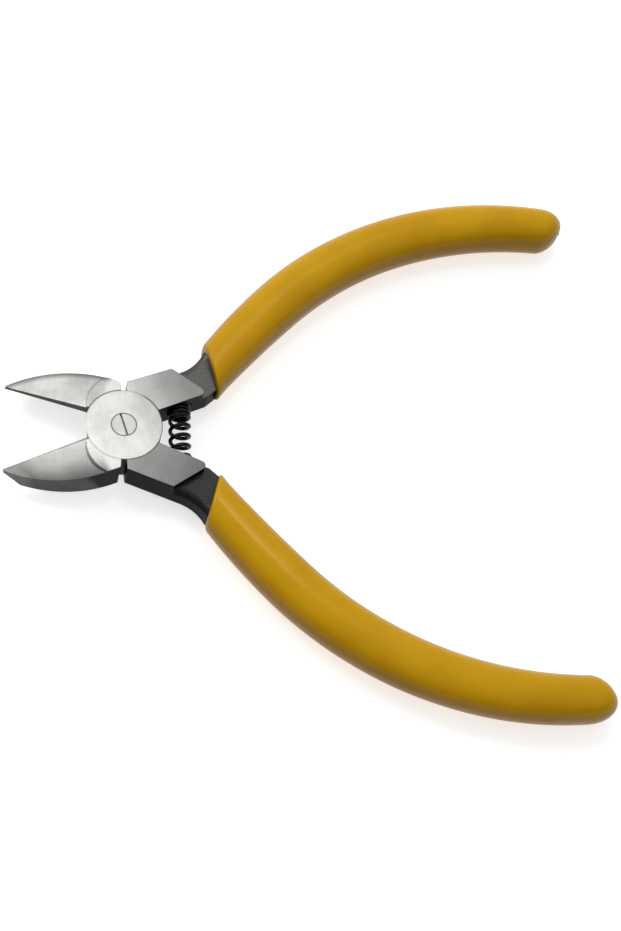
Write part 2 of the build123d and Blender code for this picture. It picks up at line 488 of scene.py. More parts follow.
    def colour(self, share: Value, a: Colour, b: Colour,
               mixing: Mixing = Mixing.BETWEEN) -> Socket:
        """Two colours brought together.

        Args:
            share: how far b counts, 0 to 1.
            a: first colour or socket.
            b: second colour or socket.
            mixing: how they come together.

        Returns:
            The colour socket.
        """
        node = self.node("ShaderNodeMix")
        node.data_type = "RGBA"
        node.blend_type = mixing.value
        self.link(share, node.inputs[0])
        self.link(a if isinstance(a, Socket) else (*a, 1.0), node.inputs[6])
        self.link(b if isinstance(b, Socket) else (*b, 1.0), node.inputs[7])
        return node.outputs[2]

    def toned(self, colour: Colour, factor: Colour) -> Socket:
        """A colour times a factor for each channel."""
        return self.colour(1.0, colour, factor, Mixing.PRODUCT)

    def stained(self, colour: Colour, share: Value, factor: Triple) -> Socket:
        """A colour that is toned by a factor where the share is 1."""
        return self.colour(share, colour, self.toned(colour, factor))

    def grey(self, value: Value) -> Socket:
        """A grey of a value.

        Args:
            value: the value socket.

        Returns:
            The colour socket.
        """
        node = self.node("ShaderNodeCombineColor")
        for channel in node.inputs:
            self.link(value, channel)
        return node.outputs[0]

    def bump(self, height: Socket, relief: Relief, start: Socket | None = None) -> Socket:
        """Direction of a surface with a fine relief.

        Args:
            height: the value socket, about 0 to 1.
            relief: the relief's depth and strength.
            start: the direction socket that it starts from, or the surface's own.

        Returns:
            The direction socket.
        """
        node = self.node("ShaderNodeBump")
        node.inputs["Strength"].default_value = relief.strength
        node.inputs["Distance"].default_value = relief.depth * MM
        self.link(height, node.inputs["Height"])
        if start is not None:
            self.link(start, node.inputs["Normal"])
        return node.outputs["Normal"]

    def soft_edges(self, radius: float, samples: int = 6) -> Socket:
        """Direction of a surface whose edges are broken.

        Args:
            radius: radius of the broken edge in millimetres.
            samples: rays for each point.

        Returns:
            The direction socket.
        """
        node = self.node("ShaderNodeBevel")
        node.samples = samples
        node.inputs["Radius"].default_value = radius * MM
        return node.outputs["Normal"]

    def at_edge(self, soft: Socket, start: float, full: float) -> Socket:
        """Where a softened direction leaves the surface's own, which is at an edge.

        Args:
            soft: the softened direction.
            start: cosine between the two at which the edge starts.
            full: cosine at which it is full.

        Returns:
            The value socket, 1 on an edge.
        """
        own = self.node("ShaderNodeNewGeometry")
        cosine = self.node("ShaderNodeVectorMath")
        cosine.operation = "DOT_PRODUCT"
        self.link(soft, cosine.inputs[0])
        self.link(own.outputs["Normal"], cosine.inputs[1])
        return self.rise(cosine.outputs["Value"], start, full)


def shaded(colour: Triple, factor: float) -> Triple:
    """A colour times a factor."""
    return tuple(channel * factor for channel in colour)


# ------------------------------------------------------------------ finishes


@dataclass(frozen=True)
class ForgedSizes:
    """Sizes of a forging that its grinding and its seams follow, as it lies when closed.

    Args:
        cheek_half: height of the cheeks and flats over the middle plane.
        lap_radius: radius of the round lap.
        seat_radius: radius of the screw's seat.
        bulge_centre: middle of the arc of the jaw's outer side.
        bulge_radius: radius of that arc.
    """

    cheek_half: float = 3.2
    lap_radius: float = 7.1
    seat_radius: float = 2.3
    bulge_centre: Pair = (-5.59, 16.35)
    bulge_radius: float = 24.3


@dataclass(frozen=True)
class PaintedLight(ABC):
    """Painted highlight and shade on a half's ground steel, as a factor on the bright steel:
    bright where the lamp's reflection falls, darker away from it.

    A pair of places says where a mask starts and where it is full, and a pair of tones gives
    the factor at each. Depth is the distance inside the arc of the jaw's outer side.
    """

    # painted highlight: the factor on the cheek, where the lamp's reflection is brightest
    cheek: float = 0.74
    jaw_start: Pair = (-5.0, -6.5)

    @abstractmethod
    def shank(self, f: Finish, x: Socket) -> Socket:
        """The factor on the cheek and the shank's flat, at a distance along the closed half."""

    @abstractmethod
    def jaw(self, f: Finish, x: Socket, depth: Socket, facing: Socket) -> Socket:
        """The factor on the jaw, at a distance along the half, a depth and a direction."""

    def tone(self, f: Finish, sizes: ForgedSizes, place: Socket, facing: Socket) -> Socket:
        """The factor on the whole half.

        Args:
            f: the finish that is being made.
            sizes: the forging's sizes.
            place: position in the half's closed frame, in millimetres.
            facing: direction of the surface in the same frame.

        Returns:
            The value socket.
        """
        x, y, _ = f.split(place)
        centre_x, centre_y = sizes.bulge_centre
        from_centre = f.radius(f.math(Operation.DIFFERENCE, x, centre_x),
                               f.math(Operation.DIFFERENCE, y, centre_y))
        depth = f.math(Operation.DIFFERENCE, sizes.bulge_radius, from_centre)
        in_jaw = f.rise(x, *self.jaw_start)
        return f.blend(in_jaw, self.shank(f, x), self.jaw(f, x, depth, facing))


@dataclass(frozen=True)
class UpperPaintedLight(PaintedLight):
    """The upper half's painted highlight: full on the cheek and fading out along the shank's flat.

    The jaw's face darkens with painted shade towards its outer side, and is a little lighter again
    at the tip.
    """

    # painted highlight, fading out along the shank's flat
    shank_reach: Pair = (-1.0, 15.0)
    shank_end: float = 0.36
    # painted shade on the jaw's face towards its outer side, less of it at the tip
    shade_depth: Pair = (-0.9, 5.2)
    shade_tones: Pair = (0.20, 0.82)
    tip_reach: Pair = (-15.5, -21.0)
    tip_tone: float = 0.44

    def shank(self, f: Finish, x: Socket) -> Socket:
        """Formula: from the cheek's factor to a share of it along the flat."""
        return f.scaled(f.rise(x, *self.shank_reach), self.cheek, self.cheek * self.shank_end)

    def jaw(self, f: Finish, x: Socket, depth: Socket, facing: Socket) -> Socket:
        """Formula: the higher of the rise with the depth and the rise towards the tip."""
        inwards = f.scaled(f.rise(depth, *self.shade_depth), *self.shade_tones)
        return f.highest(inwards, f.product(f.rise(x, *self.tip_reach), self.tip_tone))


@dataclass(frozen=True)
class LowerPaintedLight(PaintedLight):
    """The lower half's painted highlight: full beside the jaw, and dull along the shank's flat.

    The jaw's face gets painted shade only near its outer side, where it is level, and on the
    narrow honed strip along the edge.
    """

    # painted highlight beside the jaw, fading along the shank's flat
    near_reach: Pair = (-2.0, 1.0)
    near_end: float = 0.46
    far_start: Pair = (2.0, 7.5)
    far_reach: Pair = (7.0, 17.0)
    far_ends: Pair = (0.36, 0.22)
    # painted shade on the jaw's face: near its outer side, where it is level, and on the honed
    # strip
    rim_depth: Pair = (0.0, 1.4)
    rim_shade_tones: Pair = (0.30, 0.82)
    level_lean: Pair = (-0.13, -0.06)
    level_shade: float = 0.66
    honed_inwards: Pair = (0.45, 0.6)
    honed_upwards: Pair = (0.2, 0.4)
    honed_shade: float = 0.38

    def shank(self, f: Finish, x: Socket) -> Socket:
        """The factor beside the jaw and on the shank's flat.

        Formula: a near stretch goes over into a far one, and each goes over from one share of
        the cheek's factor to another.

        Args:
            f: the finish that is being made.
            x: distance along the closed half.

        Returns:
            The value socket.
        """
        near = f.scaled(f.rise(x, *self.near_reach), self.cheek, self.cheek * self.near_end)
        ends = (self.cheek * end for end in self.far_ends)
        far = f.scaled(f.rise(x, *self.far_reach), *ends)
        return f.blend(f.rise(x, *self.far_start), near, far)

    def jaw(self, f: Finish, x: Socket, depth: Socket, facing: Socket) -> Socket:
        """The factor on the jaw.

        Formula: the rise with the depth, times the factor of a level face, times that of the
        honed strip.

        Args:
            f: the finish that is being made.
            x: distance along the closed half.
            depth: distance inside the arc of the outer side.
            facing: direction of the surface in the half's frame.

        Returns:
            The value socket.
        """
        lean, inwards, upwards = f.split(facing)
        rim = f.scaled(f.rise(depth, *self.rim_depth), *self.rim_shade_tones)
        level = f.scaled(f.rise(lean, *self.level_lean), 1.0, self.level_shade)
        honed = f.product(f.rise(inwards, *self.honed_inwards),
                          f.rise(upwards, *self.honed_upwards))
        return f.product(f.product(rim, level), f.scaled(honed, 1.0, self.honed_shade))


@dataclass(frozen=True)
class ForgedSteel:
    """Forged tool steel: ground bright on its working faces, black oxide on the rest.

    Masks are made in the half's own closed frame, with the jaw on the -X, -Y side. A pair of
    places says where a mask starts and where it is full. A spread is the stretch of a noise
    that a mask takes, and a dark is a colour's factor where the mask is full.
    """

    opening: Opening
    side: Side
    sizes: ForgedSizes = ForgedSizes()

    # the ground steel
    bright: Triple = (0.64, 0.635, 0.615)
    cloud: Pattern = Pattern(0.28)
    cloud_spread: Pair = (0.28, 0.72)
    cloud_tones: Pair = (0.86, 1.12)
    grain: Pattern = Pattern(1.0, 4.0, 0.65, (9.0, 0.45, 2.0), 12.0)
    grain_spread: Pair = (0.35, 0.75)
    grain_dark: Triple = (0.86, 0.86, 0.86)
    pits: Pattern = Pattern(3.4, 3.0, 0.6)
    pits_spread: Pair = (0.62, 0.74)
    pits_dark: Triple = (0.78, 0.78, 0.77)

    # the black oxide, with a painted highlight on top and painted shade on the sides; the top
    # tones are the upper half's and the lower half's
    oxide: Triple = (0.036, 0.036, 0.034)
    mottle: Pattern = Pattern(2.4, 5.0, 0.65)
    mottle_spread: Pair = (0.4, 0.7)
    mottle_tone: float = 1.5
    top_facing: Pair = (0.35, 0.9)
    side_shade_tone: float = 0.20
    top_light_tones: Pair = (2.1, 0.85)

    # its rubbed edges
    worn: Triple = (0.15, 0.15, 0.145)
    wear: Pattern = Pattern(1.3)
    wear_spread: Pair = (0.35, 0.6)
    wear_cosine: Pair = (0.992, 0.90)
    edge_break: float = 0.14

    # dark grime and painted shade in the seams
    grime_and_shade: Triple = (0.10, 0.10, 0.095)
    lap_grime_and_shade: Pair = (0.26, 0.06)
    lap_grime_and_shade_tones: Pair = (0.35, 1.0)
    lap_free_x: Pair = (3.5, 6.0)
    lap_free_y: Pair = (5.5, 3.5)
    head_grime_and_shade: Pair = (0.22, 0.05)
    head_grime_and_shade_tone: float = 0.7

    # where the steel is ground: flats, the jaw's face, its flush side and its outer side
    flat_under: Pair = (0.12, 0.06)
    flat_level: Pair = (0.97, 0.99)
    jaw_start: Pair = (-4.6, -5.2)
    face_level: Pair = (0.52, 0.62)
    flush_facing: Pair = (-0.1, 0.1)
    outer_start: Pair = (-7.8, -9.8)
    outer_share: float = 0.46
    outer_lean: float = 0.55
    outer_ragged: Pattern = Pattern(0.9)
    outer_wander: float = 0.9

    # gloss and relief
    edge_tint: Triple = (0.76, 0.76, 0.76)
    ground_roughness: Pair = (0.35, 0.46)
    oxide_roughness: Pair = (0.36, 0.58)
    scratches: Pattern = Pattern(1.0, 2.0, 0.5, (0.8, 16.0, 4.0), 38.0)
    scratch_share: float = 0.3
    mottle_relief: float = 1.6
    relief: Relief = Relief(0.012, 0.6)

    def ground_mask(self, f: Finish, place: Socket, facing: Socket) -> Socket:
        """Where the steel is ground.

        Formula: the highest of the cheeks and flats, the jaw's face, its flush side, and a
        share of its outer side beyond a slanted, ragged line.

        Args:
            f: the finish that is being made.
            place: position in the half's closed frame, in millimetres.
            facing: direction of the surface in the same frame.

        Returns:
            The value socket, 1 on ground steel.
        """
        x, _, z = f.split(place)
        _, inwards, upwards = f.split(facing)
        level = f.apart(upwards, 0.0)
        flat_height = (self.sizes.cheek_half - under for under in self.flat_under)
        flats = f.product(f.rise(f.apart(z, 0.0), *flat_height),
                          f.rise(level, *self.flat_level))
        in_jaw = f.rise(x, *self.jaw_start)
        face = f.product(in_jaw, f.rise(level, *self.face_level))
        flush_side = f.product(in_jaw, f.rise(inwards, *self.flush_facing))
        slanted = f.math(Operation.SUM, x, f.product(z, self.outer_lean))
        wander = f.scaled(f.noise(place, self.outer_ragged), -self.outer_wander, self.outer_wander)
        along = f.math(Operation.SUM, slanted, wander)
        outer_side = f.product(f.product(in_jaw, self.outer_share),
                               f.rise(along, *self.outer_start))
        return f.highest(f.highest(f.highest(flats, face), flush_side), outer_side)

    def seam_mask(self, f: Finish, place: Socket) -> Socket:
        """Dark grime and painted shade in the seams: round the lap, most at its free edge, and
        round the screw.

        Formula: each seam is a ring that fades with the distance from its radius.

        Args:
            f: the finish that is being made.
            place: position in the half's closed frame, in millimetres.

        Returns:
            The value socket, 1 in a seam.
        """
        x, y, _ = f.split(place)
        radius = f.radius(x, y)
        lap = f.rise(f.apart(radius, self.sizes.lap_radius), *self.lap_grime_and_shade)
        free = f.product(f.rise(x, *self.lap_free_x), f.rise(f.apart(y, 0.0), *self.lap_free_y))
        head = f.rise(f.apart(radius, self.sizes.seat_radius), *self.head_grime_and_shade)
        return f.highest(f.product(lap, f.scaled(free, *self.lap_grime_and_shade_tones)),
                         f.product(head, self.head_grime_and_shade_tone))

    def ground_colour(self, f: Finish, place: Socket, facing: Socket, grain: Socket) -> Socket:
        """Colour of the ground steel: clouds, the wheel's grain, small pits, and the painted
        highlight and shade.

        Args:
            f: the finish that is being made.
            place: position in the half's closed frame, in millimetres.
            facing: direction of the surface in the same frame.
            grain: the noise of the wheel's lines.

        Returns:
            The colour socket.
        """
        cloud = f.rise(f.noise(place, self.cloud), *self.cloud_spread)
        ground = f.colour(cloud, *(shaded(self.bright, tone) for tone in self.cloud_tones))
        ground = f.stained(ground, f.rise(grain, *self.grain_spread), self.grain_dark)
        pits = f.rise(f.noise(place, self.pits), *self.pits_spread)
        ground = f.stained(ground, pits, self.pits_dark)
        # painted highlight and shade, as a factor on the ground steel
        painted_light = UpperPaintedLight() if self.side is Side.UPPER else LowerPaintedLight()
        return f.toned(ground, f.grey(painted_light.tone(f, self.sizes, place, facing)))

    def oxide_colour(self, f: Finish, facing: Socket, mottle: Socket) -> Socket:
        """Colour of the black oxide: mottled, with a painted highlight on top and painted shade on
        the sides.

        Args:
            f: the finish that is being made.
            facing: direction of the surface in the half's frame.
            mottle: the noise of the forging's skin.

        Returns:
            The colour socket.
        """
        lighter = shaded(self.oxide, self.mottle_tone)
        oxide = f.colour(f.rise(mottle, *self.mottle_spread), self.oxide, lighter)
        # painted highlight on faces turned up, painted shade on the sides, and a lighter top on
        # the upper half
        _, _, upwards = f.split(facing)
        top_light_tone = self.top_light_tones[0 if self.side is Side.UPPER else 1]
        tone = f.scaled(f.rise(upwards, *self.top_facing), self.side_shade_tone, top_light_tone)
        return f.toned(oxide, f.grey(tone))

    def wear_mask(self, f: Finish, place: Socket, soft: Socket, ground: Socket) -> Socket:
        """Where the oxide is rubbed off: on stretches of its edges.

        Args:
            f: the finish that is being made.
            place: position in the half's closed frame, in millimetres.
            soft: direction of the surface with broken edges.
            ground: 1 on ground steel.

        Returns:
            The value socket.
        """
        stretches = f.rise(f.noise(place, self.wear), *self.wear_spread)
        rubbed = f.product(f.at_edge(soft, *self.wear_cosine), stretches)
        return f.product(rubbed, f.math(Operation.DIFFERENCE, 1.0, ground))

    def material(self) -> bpy.types.Material:
        """Builds the finish.

        Returns:
            The material, for the half on this side.
        """
        f = Finish(f"forged_steel_{self.side.name.lower()}")
        flip, turn = self.side.value, -self.opening.half_angle
        place = f.place(flip, turn, self.opening.middle_height)
        facing = f.facing(flip, turn)
        soft = f.soft_edges(self.edge_break)
        grain = f.noise(place, self.grain)
        mottle = f.noise(place, self.mottle)
        ground = self.ground_mask(f, place, facing)

        steel = f.colour(ground, self.oxide_colour(f, facing, mottle),
                         self.ground_colour(f, place, facing, grain))
        steel = f.colour(self.wear_mask(f, place, soft, ground), steel, self.worn)
        # dark grime and painted shade in the seams
        steel = f.colour(self.seam_mask(f, place), steel, self.grime_and_shade)
        f.give("Base Color", steel)
        f.give("Metallic", 1.0)
        f.give("Specular Tint", self.edge_tint)

        satin = f.scaled(f.noise(place, self.cloud), *self.ground_roughness)
        dull = f.scaled(mottle, *self.oxide_roughness)
        f.give("Roughness", f.blend(ground, dull, satin))

        lines = f.math(Operation.SUM, f.product(grain, 1.0 - self.scratch_share),
                       f.product(f.noise(place, self.scratches), self.scratch_share))
        height = f.blend(ground, f.product(mottle, self.mottle_relief), lines)
        f.give("Normal", f.bump(height, self.relief, soft))
        return f.material


@dataclass(frozen=True)
class TurnedSteel:
    """The screw's head: ground flush with the cheek, with grime and painted shade at its rim and
    painted shade in its slot.

    Args:
        rim_radius: radius at which the dark rim starts.
        top: height of the head's face.
        ring_phase: radians of the rings' wave for each millimetre outwards.
    """

    rim_radius: float
    top: float
    bright: Triple = (0.44, 0.435, 0.42)
    dark_grime_and_shade: Triple = (0.11, 0.11, 0.105)
    cloud: Pattern = Pattern(1.1)
    cloud_tone: float = 0.88
    sunk_depth: Pair = (0.02, 0.10)
    sunk_shade_share: float = 0.8
    rim_fade: Pair = (-0.04, 0.09)
    rim_share: float = 0.7
    roughness: Pair = (0.32, 0.44)
    ring_phase: float = 38.0
    edge_break: float = 0.08
    relief: Relief = Relief(0.006, 0.6)

    def material(self) -> bpy.types.Material:
        """Builds the finish: rings about the axis, painted shade below the head's face, and grime
        and painted shade at its rim.

        Returns:
            The material.
        """
        f = Finish("pivot_screw_steel")
        place = f.place()
        x, y, z = f.split(place)
        radius = f.radius(x, y)
        cloud = f.noise(place, self.cloud)
        sunk = f.rise(z, *(self.top - depth for depth in self.sunk_depth))
        rim = f.rise(radius, *(self.rim_radius + fade for fade in self.rim_fade))
        # painted shade below the head's face, in the slot; grime and painted shade at the rim
        grime_and_shade = f.highest(f.product(sunk, self.sunk_shade_share), f.product(rim, self.rim_share))
        bright = f.colour(cloud, shaded(self.bright, self.cloud_tone), self.bright)
        f.give("Base Color", f.colour(grime_and_shade, bright, self.dark_grime_and_shade))
        f.give("Metallic", 1.0)
        f.give("Roughness", f.scaled(cloud, *self.roughness))
        rings = f.math(Operation.SINE, f.product(radius, self.ring_phase))
        f.give("Normal", f.bump(rings, self.relief, f.soft_edges(self.edge_break)))
        return f.material


@dataclass(frozen=True)
class SpringSteel:
    """Spring wire with a thin black oxide, rubbed a little in streaks."""

    oxide: Triple = (0.014, 0.014, 0.014)
    rubbed: Triple = (0.055, 0.055, 0.053)
    streaks: Pattern = Pattern(1.0, 3.0, 0.6, (1.2, 6.0, 1.2))
    streaks_spread: Pair = (0.45, 0.75)
    mottle: Pattern = Pattern(3.0, 4.0, 0.6)
    roughness: Pair = (0.32, 0.50)
    relief: Relief = Relief(0.01, 0.6)

    def material(self) -> bpy.types.Material:
        """Builds the finish: dark wire with streaks and a fine mottle.

        Returns:
            The material.
        """
        f = Finish("return_spring_wire")
        place = f.place()
        streaks = f.noise(place, self.streaks)
        rubbed = f.rise(streaks, *self.streaks_spread)
        f.give("Base Color", f.colour(rubbed, self.oxide, self.rubbed))
        f.give("Metallic", 1.0)
        f.give("Roughness", f.scaled(f.noise(place, self.mottle), *self.roughness))
        f.give("Normal", f.bump(streaks, self.relief))
        return f.material


@dataclass(frozen=True)
class DippedVinyl:
    """Ochre vinyl: a glossy skin with faint clouds, specks and a slight orange peel.

    It is duller where it is handled, and has painted shade on the sides, darker where it faces
    sideways.
    """

    side: Side
    body: Triple = (0.585, 0.316, 0.002)
    deep: Triple = (0.520, 0.270, 0.002)
    clouds: Pattern = Pattern(0.09, 3.0, 0.55)
    clouds_spread: Pair = (0.3, 0.7)
    specks: Pattern = Pattern(1.9, 4.0, 0.6)
    specks_spread: Pair = (0.62, 0.80)
    specks_dark: Triple = (0.88, 0.86, 0.8)
    # painted shade on the sides, by how far the surface faces sideways
    side_shade_facing: Pair = (0.95, 0.10)
    side_shade_factor: Triple = (0.44, 0.40, 0.62)
    handling: Pattern = Pattern(1.0, 3.0, 0.6, (0.25, 1.6, 1.6))
    handling_turn: float = 30.0
    roughness: Pair = (0.17, 0.33)
    specular: float = 0.24
    gloss_tint: Triple = (1.0, 0.88, 0.44)
    glow_share: float = 0.06
    glow_reach: float = 0.8
    glow_colour: Triple = (1.0, 0.45, 0.1)
    peel: Pattern = Pattern(0.75, 2.0, 0.45)
    relief: Relief = Relief(0.05, 0.5)

    def material(self) -> bpy.types.Material:
        """Builds the finish.

        Returns:
            The material, for the grip on this side.
        """
        f = Finish(f"grip_vinyl_{self.side.name.lower()}")
        place = f.place()
        clouds = f.rise(f.noise(place, self.clouds), *self.clouds_spread)
        specks = f.rise(f.noise(place, self.specks), *self.specks_spread)
        _, _, upwards = f.split(f.coordinates.outputs["Normal"])
        # painted shade where the surface faces sideways
        shaded_sides = f.rise(f.apart(upwards, 0.0), *self.side_shade_facing)
        vinyl = f.stained(f.colour(clouds, self.deep, self.body), specks, self.specks_dark)
        f.give("Base Color", f.stained(vinyl, shaded_sides, self.side_shade_factor))
        handling = replace(self.handling, turn=-self.side.value * self.handling_turn)
        f.give("Roughness", f.scaled(f.noise(place, handling), *self.roughness))
        f.give("Specular IOR Level", self.specular)
        f.give("Specular Tint", self.gloss_tint)
        f.give("Subsurface Weight", self.glow_share)
        f.give("Subsurface Radius", self.glow_colour)
        f.give("Subsurface Scale", self.glow_reach * MM)
        f.give("Normal", f.bump(f.noise(place, self.peel), self.relief))
        return f.material


@dataclass(frozen=True)
class PaperFloor:
    """The studio's pale floor: a matt white light table with a trace of tooth."""

    white: Triple = (0.62, 0.62, 0.62)
    tooth: Pattern = Pattern(0.8, 2.0)
    tooth_tone: float = 0.99
    roughness: float = 0.9
    specular: float = 0.1
    light: Triple = (1.0, 1.0, 1.0)
    glow: float = 0.64

    def material(self) -> bpy.types.Material:
        """Builds the finish of the floor.

        Returns:
            The material.
        """
        f = Finish("studio_paper")
        tooth = f.noise(f.place(), self.tooth)
        f.give("Base Color", f.colour(tooth, self.white, shaded(self.white, self.tooth_tone)))
        f.give("Roughness", self.roughness)
        f.give("Specular IOR Level", self.specular)
        f.give("Emission Color", self.light)
        f.give("Emission Strength", self.glow)
        return f.material


# ------------------------------------------------------------------ sub-assemblies


@dataclass
class ForgedHalf:
    """One forging, jaw, lap, shank, neck and tang in one: its solid, with its finish."""

    node: str
    side: Side
    opening: Opening
    sizes: ForgedSizes = ForgedSizes()

    def dress(self, nodes: dict[str, bpy.types.Object]) -> bpy.types.Object:
        """Gives the half's solid its steel.

        Args:
            nodes: the part's solids by name.

        Returns:
            The dressed solid.
        """
        piece = nodes[self.node]
        steel = ForgedSteel(self.opening, self.side, self.sizes).material()
        piece.data.materials.clear()
        piece.data.materials.append(steel)
        return piece


@dataclass
class PivotScrew:
    """The slotted screw that holds the two laps together: its solid, with its finish."""

    node: str = "pivot_screw"
    rim_radius: float = 2.16
    top: float = 6.4

    def dress(self, nodes: dict[str, bpy.types.Object]) -> bpy.types.Object:
        """Gives the screw's solid its steel.

        Args:
            nodes: the part's solids by name.

        Returns:
            The dressed solid.
        """
        piece = nodes[self.node]
        piece.data.materials.clear()
        piece.data.materials.append(TurnedSteel(self.rim_radius, self.top).material())
        return piece


@dataclass
class ReturnSpring:
    """Coil spring in the pockets of the two shanks.

    The first stretch of the coil rises by the end pitch, the middle lies open, and the last
    turns, at the upper half, are wound close. Both ends are ground flat.

    Args:
        wire: thickness of the wire.
        pitch: rise of an open turn.
        end_pitch: rise of a turn at the lower half.
        end_turns: turns of the end pitch.
        end_delay: share of the end turns that passes before the open turns begin.
        close_pitch: rise of a close turn.
        close_turns: turns of the close pitch.
        settle: turns in which the open turns go over into the close ones.
        end_wire: wire left past its middle at both ends together, as a share of the wire.
        eye_height: place along Y at which the wire passes the spring's outer side.
        steps_per_turn: rings of points in a turn.
        points_around: points of a ring.
        blend_reach: not used.
    """

    node: str = "return_spring"
    wire: float = 0.75
    pitch: float = 2.09
    end_pitch: float = 1.6
    end_turns: float = 0.25
    end_delay: float = 0.4
    close_pitch: float = 0.80
    close_turns: float = 4.2
    settle: float = 0.5
    end_wire: float = 0.7
    eye_height: float = -0.25
    steps_per_turn: int = 44
    points_around: int = 16
    blend_reach: float = 1.3

    def centre_line(self, low: np.ndarray, high: np.ndarray) -> np.ndarray:
        """Middle of the wire.

        Formula: the turn angle grows evenly; the rise per turn goes smoothly from the end
        pitch to the full pitch and on to the close pitch, is summed, and is then scaled to
        the spring's length; X and Z go round the axis at the coil's radius.

        Args:
            low: lowest corner of the spring's box.
            high: highest corner.

        Returns:
            Array of points by 3.
        """
        length = (high[1] - low[1]) - self.wire * self.end_wire
        radius = (high[0] - low[0] - self.wire) / 2
        wound = self.end_turns * self.end_pitch + self.close_turns * self.close_pitch
        turns = self.end_turns + self.close_turns + (length - wound) / self.pitch
        turn = np.linspace(0, turns, int(turns * self.steps_per_turn))
        opened = smooth_step(turn / self.end_turns - self.end_delay)
        not_closed = smooth_step((turns - turn - self.close_turns) / self.settle + 0.5)
        rate = self.end_pitch + (self.pitch - self.end_pitch) * opened
        rate = self.close_pitch + (rate - self.close_pitch) * not_closed
        rise = np.concatenate([[0], np.cumsum((rate[1:] + rate[:-1]) / 2)])
        middle = (low + high) / 2
        along = middle[1] - length / 2 + length * rise / rise[-1]
        eye_turn = np.interp(self.eye_height, along, turn)
        angle = 2 * np.pi * (eye_turn - turn)
        x = middle[0] + radius * np.cos(angle)
        z = middle[2] + radius * np.sin(angle)
        return np.stack([x, along, z], axis=-1)

    def coil(self, low: np.ndarray, high: np.ndarray) -> np.ndarray:
        """Rings of points along the wire.

        Formula: a circle of the wire's radius is carried along the centre line, square to it,
        and both ends are pressed flat against the pocket floors.

        Args:
            low: lowest corner of the spring's box.
            high: highest corner.

        Returns:
            Array of rings by points by 3.
        """
        line = self.centre_line(low, high)
        along = np.gradient(line, axis=0)
        along /= np.linalg.norm(along, axis=1, keepdims=True)
        out = line - (low + high) / 2
        out[:, 1] = 0
        out -= along * np.einsum("ij,ij->i", out, along)[:, None]
        out /= np.linalg.norm(out, axis=1, keepdims=True)
        across = np.cross(along, out)
        turn = np.linspace(0, 2 * np.pi, self.points_around, endpoint=False)[None, :, None]
        circle = out[:, None] * np.cos(turn) + across[:, None] * np.sin(turn)
        rings = line[:, None] + self.wire / 2 * circle
        rings[..., 1] = np.clip(rings[..., 1], low[1], high[1])
        return rings

    def build(self) -> bpy.types.Object:
        """Builds the spring in its solid's place.

        Returns:
            The spring.
        """
        low, high = (np.array(corner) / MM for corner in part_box(self.node))
        spring = add_mesh("coil_spring", *closed_skin(self.coil(low, high)))
        spring.data.materials.append(SpringSteel().material())
        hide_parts(self.node)
        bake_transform(spring)
        return spring


@dataclass(frozen=True)
class HandleLine:
    """Middle line of a grip, as the upper half lies when closed: two arcs from the mouth.

    Args:
        mouth: X and Y of the middle of the grip's mouth.
        mouth_lean: lean of the mouth's plane from square to the closing line, in degrees.
        heading: direction of the line at the mouth, in degrees.
        first_radius: radius of the first arc.
        first_length: length of the first arc.
        second_radius: radius of the second arc.
    """

    mouth: Pair = (20.0, 6.4)
    mouth_lean: float = 5.6
    heading: float = 32.2
    first_radius: float = 165.0
    first_length: float = 21.0
    second_radius: float = 69.7

    def at(self, s: np.ndarray) -> tuple[np.ndarray, np.ndarray]:
        """Point and heading of the line.

        Formula: the heading falls by the length over the radius, first on the first arc and
        then on the second; on each arc the point moves by the radius times the change of the
        heading's sine and cosine.

        Args:
            s: distance from the mouth along the line; below 0 the first arc goes on.

        Returns:
            The points, with X and Y on the last axis, and the headings in radians.
        """
        start = math.radians(self.heading)
        first = np.minimum(s, self.first_length)
        middle = start - first / self.first_radius
        end = middle - (s - first) / self.second_radius
        x = self.first_radius * (math.sin(start) - np.sin(middle))
        y = self.first_radius * (np.cos(middle) - math.cos(start))
        x = x + self.second_radius * (np.sin(middle) - np.sin(end)) + self.mouth[0]
        y = y + self.second_radius * (np.cos(end) - np.cos(middle)) + self.mouth[1]
        return np.stack([x, y], axis=-1), end

    def behind_mouth(self, lateral: np.ndarray, depth: np.ndarray) -> np.ndarray:
        """Distance along the line at which a point beside it is a depth inside the mouth.

        Formula: Newton's steps on the distance from the slanted mouth plane, whose slope is
        the cosine between the line and the plane's axis.

        Args:
            lateral: distance to the left of the line.
            depth: wanted distance from the mouth's plane.

        Returns:
            The distance along the line, of the same shape.
        """
        lean = -math.radians(self.mouth_lean)
        axis = np.array([math.cos(lean), math.sin(lean)])
        s = np.zeros(np.broadcast(lateral, depth).shape)
        for _ in range(REFINEMENTS):
            point, heading = self.at(s)
            left = np.stack([-np.sin(heading), np.cos(heading)], axis=-1)
            place = point + left * lateral[..., None] - np.array(self.mouth)
            s = s - (place @ axis - depth) / np.cos(heading - lean)
        return s


